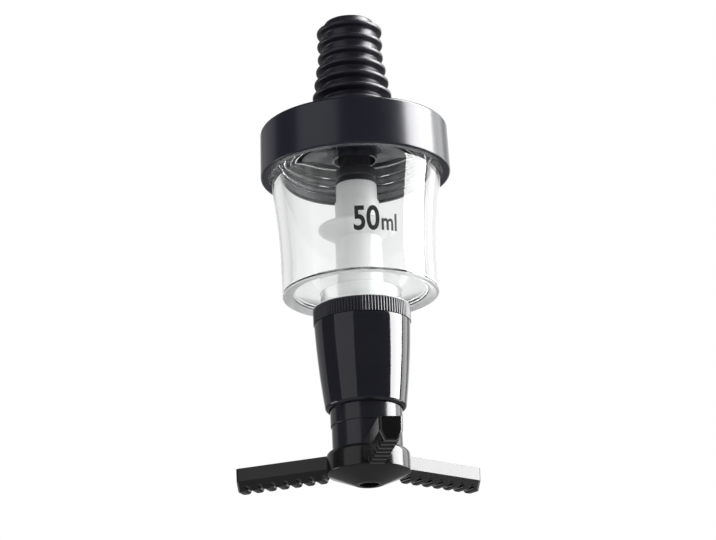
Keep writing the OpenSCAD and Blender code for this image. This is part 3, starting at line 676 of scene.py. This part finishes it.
def addArm(bm, a, turn):
    view = armView(a)
    before = set(bm.verts)
    half = a["width"] / 2
    corners = [bm.verts.new((x * mm, -half * mm, z * mm)) for x, z, rounding in view]
    for corner, after in zip(corners, corners[1:] + corners[:1]):
        bm.edges.new((corner, after))
    roundCorners(bm, corners, [rounding for x, z, rounding in view], a["segments"])
    loop = [e for e in bm.edges if not e.link_faces and e.verts[0] not in before]
    face = bmesh.ops.contextual_create(bm, geom=loop)["faces"][0]
    pulled = bmesh.ops.extrude_face_region(bm, geom=[face])["geom"]
    far = [g for g in pulled if isinstance(g, bmesh.types.BMVert)]
    bmesh.ops.translate(bm, verts=far, vec=(0, a["width"] * mm, 0))
    cutNew(bm, before, (0, 0, -a["side"]), (0, 0, 1))
    roundStart = a["reach"] - a["endRound"]
    cutNew(bm, before, (roundStart - a["endFlat"], 0, 0), (1, 0, 0))
    for i in range(a["endSteps"]):
        along = a["endRound"] * math.sin(math.pi / 2 * i / a["endSteps"])
        cutNew(bm, before, (roundStart + along, 0, 0), (1, 0, 0))
    mine = [v for v in bm.verts if v not in before]
    for vert in mine:
        # the side leans in a little, below it the arm draws in towards the teeth, and the end is rounded off
        depth = -vert.co.z / mm
        upper = min(1, depth / a["side"])
        below = max(0, (depth - a["side"]) / (a["height"] - a["side"]))
        reach = half - a["draft"] * upper - (half - a["draft"] - a["lowWidth"] / 2) * below
        past = max(0, vert.co.x / mm - roundStart)
        drawnIn = a["endRound"] - math.sqrt(max(0, a["endRound"] ** 2 - past ** 2))
        vert.co.y *= (reach - drawnIn) / half
    bmesh.ops.translate(bm, verts=mine, vec=(0, 0, a["top"] * mm))
    bmesh.ops.rotate(bm, verts=mine, cent=(0, 0, 0), matrix=Matrix.Rotation(math.radians(turn), 3, "Z"))


pusherBm = turned(hubOutline(hub), hub["steps"], segments=hub["segments"])
for i in range(arm["count"]):
    addArm(pusherBm, arm, arm["first"] + 360 * i / arm["count"])
bmesh.ops.recalc_face_normals(pusherBm, faces=pusherBm.faces[:])
pusherPiece = addPiece("pusher_arms", pusherBm, "plunger", hubFinish, ("pusher",),
                       arm["crease"])
pusherEdges = softEdges(pusherPiece, "pusherEdges", arm["soft"], arm["crease"])
pusherEdges.use_clamp_overlap = False
pusherEdges.harden_normals = True

nozzle = {
    "bore": 2.9, "boreEdge": 0.2, "flange": 6.95, "flangeEdge": 0.1, "top": -106.9, "ledge": hub["ledge"],
    "radius": 3.6, "low": hub["noseLow"], "tipEdge": 0.15, "steps": 96,
}


def nozzleOutline(n):
    return [
        (n["bore"], n["top"], n["boreEdge"]), (n["flange"], n["top"], n["flangeEdge"]),
        (n["flange"], n["ledge"], n["flangeEdge"]), (n["radius"], n["ledge"]),
        (n["radius"], n["low"], n["tipEdge"]), (n["bore"], n["low"], n["boreEdge"]),
    ]


addPiece("nozzle_tip", turned(nozzleOutline(nozzle), nozzle["steps"]), "plunger", hubFinish,
         ("outlet_nozzle",))
print("plunger made")


# Valve and stem inside the chamber

valve = {
    "pin": 4.5, "pinTop": -7.0, "pinRound": 0.6, "pinRoot": 0.3, "head": 6.0, "headTop": -13.0,
    "headRound": 0.7, "headEdge": 0.25, "groove": 5.6, "grooveTop": -16.0, "grooveLow": -17.0,
    "grooveRoot": 0.1, "low": -18.0,
    "plug": 4.1, "plugLow": -22.6, "plugEdge": 0.3, "steps": 96,
}


def valveOutline(v):
    return [
        (0, v["pinTop"]), (v["pin"], v["pinTop"], v["pinRound"]), (v["pin"], v["headTop"], v["pinRoot"]),
        (v["head"], v["headTop"], v["headRound"]), (v["head"], v["grooveTop"], v["headEdge"]),
        (v["groove"], v["grooveTop"], v["grooveRoot"]), (v["groove"], v["grooveLow"], v["grooveRoot"]),
        (v["head"], v["grooveLow"], v["headEdge"]), (v["head"], v["low"], v["headEdge"]),
        (v["plug"], v["low"]), (v["plug"], v["plugLow"], v["plugEdge"]), (0, v["plugLow"]),
    ]


addPiece("rubber_valve", turned(valveOutline(valve), valve["steps"], closed=False), "plunger",
         sealFinish, ("inlet_valve",))

valveSleeve = {
    "bore": 4.15, "boreEdge": 0.1, "radius": 6.15, "top": valve["low"], "topRound": 0.4, "low": -23.8,
    "lowEdge": 0.1, "spigot": 5.25, "spigotLow": -28.3, "spigotEdge": 0.2, "steps": 96,
}


def valveSleeveOutline(v):
    return [
        (v["bore"], v["top"], v["boreEdge"]), (v["radius"], v["top"], v["topRound"]),
        (v["radius"], v["low"], v["lowEdge"]), (v["spigot"], v["low"]),
        (v["spigot"], v["spigotLow"], v["spigotEdge"]), (v["bore"], v["spigotLow"], v["spigotEdge"]),
    ]


addPiece("valve_sleeve_tube", turned(valveSleeveOutline(valveSleeve), valveSleeve["steps"]), "plunger",
         stemFinish, ("valve_sleeve",))

spring = {
    "radius": 8.0, "wire": 0.9, "sides": 12, "turns": 8, "stepsPerTurn": 40, "top": -64.55, "low": -90.55,
    "seat": -64.0, "keep": 0.742,
}


def springMesh(s):
    bm = bmesh.new()
    steps = s["turns"] * s["stepsPerTurn"]
    start = Matrix.Translation(Vector((s["radius"], 0, s["top"])) * mm)
    upright = start @ Matrix.Rotation(math.pi / 2, 4, "X")
    bmesh.ops.create_circle(bm, segments=s["sides"], radius=s["wire"] / 2 * mm, matrix=upright)
    bmesh.ops.spin(bm, geom=bm.verts[:] + bm.edges[:], cent=(0, 0, 0), axis=(0, 0, 1),
                   angle=math.tau * s["turns"], dvec=(0, 0, (s["low"] - s["top"]) * mm / steps), steps=steps,
                   use_merge=False, use_duplicate=False)
    bmesh.ops.holes_fill(bm, edges=[edge for edge in bm.edges if edge.is_boundary], sides=s["sides"])
    bmesh.ops.recalc_face_normals(bm, faces=bm.faces[:])
    return bm


springPiece = addPiece("coil_spring", springMesh(spring), "housing", wireFinish, ("return_spring",))
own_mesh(springPiece)

cadFinishes = {
    "inlet_pipe": capFinish, "pipe_clip": wireFinish, "pipe_gasket": sealFinish, "cap_gasket": sealFinish,
    "outlet_seal": sealFinish, "gland_nut": nylonFinish, "guide_bush": nylonFinish, "slip_washer": wireFinish,
    "stem_tube": stemFinish, "stem_o_ring": sealFinish,
}
for name, finish in cadFinishes.items():
    cadNodes[name].data.materials.clear()
    cadNodes[name].data.materials.append(finish)
print("valve and stem made")


# Camera, at the photograph's place below the part

camera = {
    "place": (-116.56, -696.53, -283.21), "ahead": (0.15562, 0.93443, 0.32036),
    "right": (0.98779, -0.14986, -0.04271), "lens": 126.04, "sensor": 36,
}
cameraData = bpy.data.cameras.new("photoCamera")
cameraData.lens = camera["lens"]
cameraData.sensor_fit = "HORIZONTAL"
cameraData.sensor_width = camera["sensor"]
cameraObject = addObject("photoCamera", cameraData)
ahead = Vector(camera["ahead"]).normalized()
right = (Vector(camera["right"]) - Vector(camera["right"]).dot(ahead) * ahead).normalized()
upward = right.cross(ahead)
turnMatrix = Matrix((right, upward, -ahead)).transposed().to_4x4()
cameraObject.matrix_world = Matrix.Translation(Vector(camera["place"]) * mm) @ turnMatrix
bpy.context.scene.camera = cameraObject


# Studio: soft boxes either side, a pale floor far below, a white surround

studio = {
    "front": -99.5, "middle": -0.03,  # bearing of the camera, and the height that the lamps face
    "around": 0.68, "within": 0.75,  # light on the part, and on what lies inside the clear chamber
    # mirrored in the part
    "roomBehind": (0.2, 0.95), "room": (0.02, 0.06), "whiteBehind": (0.8, 0.945), "white": (0, 0.9),
    # seen through the chamber
    "greyAside": 0.45, "grey": (0.5, 1), "darkFront": (-0.85, -0.3), "dark": (0.08, 1),
}
# bearing in degrees to the right of the camera, seen from the part; glow is the panel's own brightness
lamps = {
    "rightSoftbox": dict(bearing=87, distance=1.1, height=0.28, size=(0.75, 1.0), glow=2.0, rays="diffuse"),
    "rightGleam": dict(bearing=88.5, distance=0.9, height=0.5, size=(0.74, 1.4), glow=17.0, rays="glossy"),
    "rightEdge": dict(bearing=123, distance=0.95, height=0.28, size=(0.4, 0.9), glow=3.0, rays="glossy"),
    "rightRear": dict(bearing=152, distance=1.0, height=0.28, size=(0.7, 0.9), glow=0.7, rays="glossy"),
    "leftPanel": dict(bearing=-45, distance=1.0, height=0.3, size=(0.95, 1.1), glow=0.6,
                      rays="diffuse glossy"),
    "leftRear": dict(bearing=-130, distance=1.0, height=0.36, size=(0.7, 0.75), glow=0.35, rays="glossy"),
    # these two show in the views from above
    "lowRight": dict(bearing=106, distance=0.75, height=-0.26, size=(0.36, 0.42), glow=2.2, rays="glossy"),
    "lowLeft": dict(bearing=-101, distance=0.75, height=-0.26, size=(0.36, 0.42), glow=2.0, rays="glossy"),
}


def addLamp(name, look):
    lamp = bpy.data.lights.new(name, "AREA")
    lamp.shape = "RECTANGLE"
    lamp.size, lamp.size_y = look["size"]
    lamp.energy = look["glow"] * math.pi * look["size"][0] * look["size"][1]
    holder = addObject(name, lamp)
    angle = math.radians(studio["front"] + look["bearing"])
    place = Vector((look["distance"] * math.cos(angle), look["distance"] * math.sin(angle), look["height"]))
    holder.location = place
    holder.rotation_euler = (Vector((0, 0, studio["middle"])) - place).to_track_quat("-Z", "Y").to_euler()
    holder.visible_camera = False
    holder.visible_transmission = False
    holder.visible_diffuse = "diffuse" in look["rays"]
    holder.visible_glossy = "glossy" in look["rays"]


for name, look in lamps.items():
    addLamp(name, look)

world = bpy.data.worlds.new("whiteSurround")
bpy.context.scene.world = world
world.use_nodes = True
skyTree = world.node_tree
sky = skyTree.nodes["Background"]
rays = skyTree.nodes.new("ShaderNodeLightPath").outputs
direction = skyTree.nodes.new("ShaderNodeTexCoord")
facing = skyTree.nodes.new("ShaderNodeVectorMath")
facing.operation = "DOT_PRODUCT"
backAngle = math.radians(studio["front"] + 180)
facing.inputs[1].default_value = (math.cos(backAngle), math.sin(backAngle), 0)
skyTree.links.new(direction.outputs["Generated"], facing.inputs[0])
behind = facing.outputs["Value"]


def chooseLight(kind, otherwise, level):
    # the level for one kind of ray; otherwise and level are numbers or sockets
    node = skyTree.nodes.new("ShaderNodeMix")
    skyTree.links.new(kind, node.inputs["Factor"])
    feed(skyTree, node.inputs["A"], otherwise)
    feed(skyTree, node.inputs["B"], level)
    return node.outputs["Result"]


mirroredRoom = span(skyTree, behind, *studio["roomBehind"], *studio["room"])
mirroredWhite = span(skyTree, behind, *studio["whiteBehind"], *studio["white"])
mirrored = maths(skyTree, "MAXIMUM", mirroredRoom, mirroredWhite)
apart = maths(skyTree, "ABSOLUTE", maths(skyTree, "SUBTRACT", behind, studio["greyAside"]))
asideLight = span(skyTree, apart, 0, studio["greyAside"], *studio["grey"])
frontLight = span(skyTree, behind, *studio["darkFront"], *studio["dark"])
through = maths(skyTree, "MINIMUM", asideLight, frontLight)
scattered = maths(skyTree, "MINIMUM", rays["Diffuse Depth"], rays["Is Transmission Ray"])
light = chooseLight(rays["Is Glossy Ray"], studio["around"], mirrored)
light = chooseLight(rays["Is Transmission Ray"], light, through)
light = chooseLight(scattered, light, studio["within"])
light = chooseLight(rays["Is Camera Ray"], light, 1)
sky.inputs["Color"].default_value = (1, 1, 1, 1)
skyTree.links.new(light, sky.inputs["Strength"])

floor = {
    "size": 4.0, "height": -0.5, "colour": (0.25, 0.25, 0.25), "roughness": 0.9, "lift": 0.72,
    "farLift": 0.88, "near": 0.6, "far": 3.0, "mirrored": 0.05, "bounce": 0.35,
}
floorBm = bmesh.new()
bmesh.ops.create_grid(floorBm, x_segments=1, y_segments=1, size=floor["size"])
bmesh.ops.translate(floorBm, verts=floorBm.verts[:], vec=(0, 0, floor["height"]))
floorMesh = bpy.data.meshes.new("paleFloor")
floorBm.to_mesh(floorMesh)
floorBm.free()
floorObject = addObject("paleFloor", floorMesh)
floorFinish, floorTree, floorShader, floorPlace = newFinish("paleFloorPaint")
floorShader.inputs["Base Color"].default_value = (*floor["colour"], 1)
floorShader.inputs["Roughness"].default_value = floor["roughness"]
floorShader.inputs["Emission Color"].default_value = (1, 1, 1, 1)
floorRays = floorTree.nodes.new("ShaderNodeLightPath").outputs

# the floor is lifted to the surround's white where it is seen, seen through or mirrored, and more so far away
away = floorTree.nodes.new("ShaderNodeVectorMath")
away.operation = "LENGTH"
floorTree.links.new(floorPlace, away.inputs[0])
farLift = span(floorTree, away.outputs["Value"], floor["near"], floor["far"], floor["lift"], floor["farLift"])
passed = maths(floorTree, "SUBTRACT", floorRays["Is Transmission Ray"], floorRays["Diffuse Depth"])
seen = maths(floorTree, "MAXIMUM", floorRays["Is Camera Ray"], passed)
mirroredFloor = span(floorTree, floorRays["Is Glossy Ray"], 0, 1, 0, floor["mirrored"])
bounced = span(floorTree, floorRays["Diffuse Depth"], 0, 1, 0, floor["bounce"])
shown = maths(floorTree, "MAXIMUM", maths(floorTree, "MAXIMUM", seen, mirroredFloor), bounced)
floorTree.links.new(maths(floorTree, "MULTIPLY", shown, farLift), floorShader.inputs["Emission Strength"])
floorMesh.materials.append(floorFinish)
bpy.context.scene.view_settings.view_transform = "Standard"
print("camera and studio made")
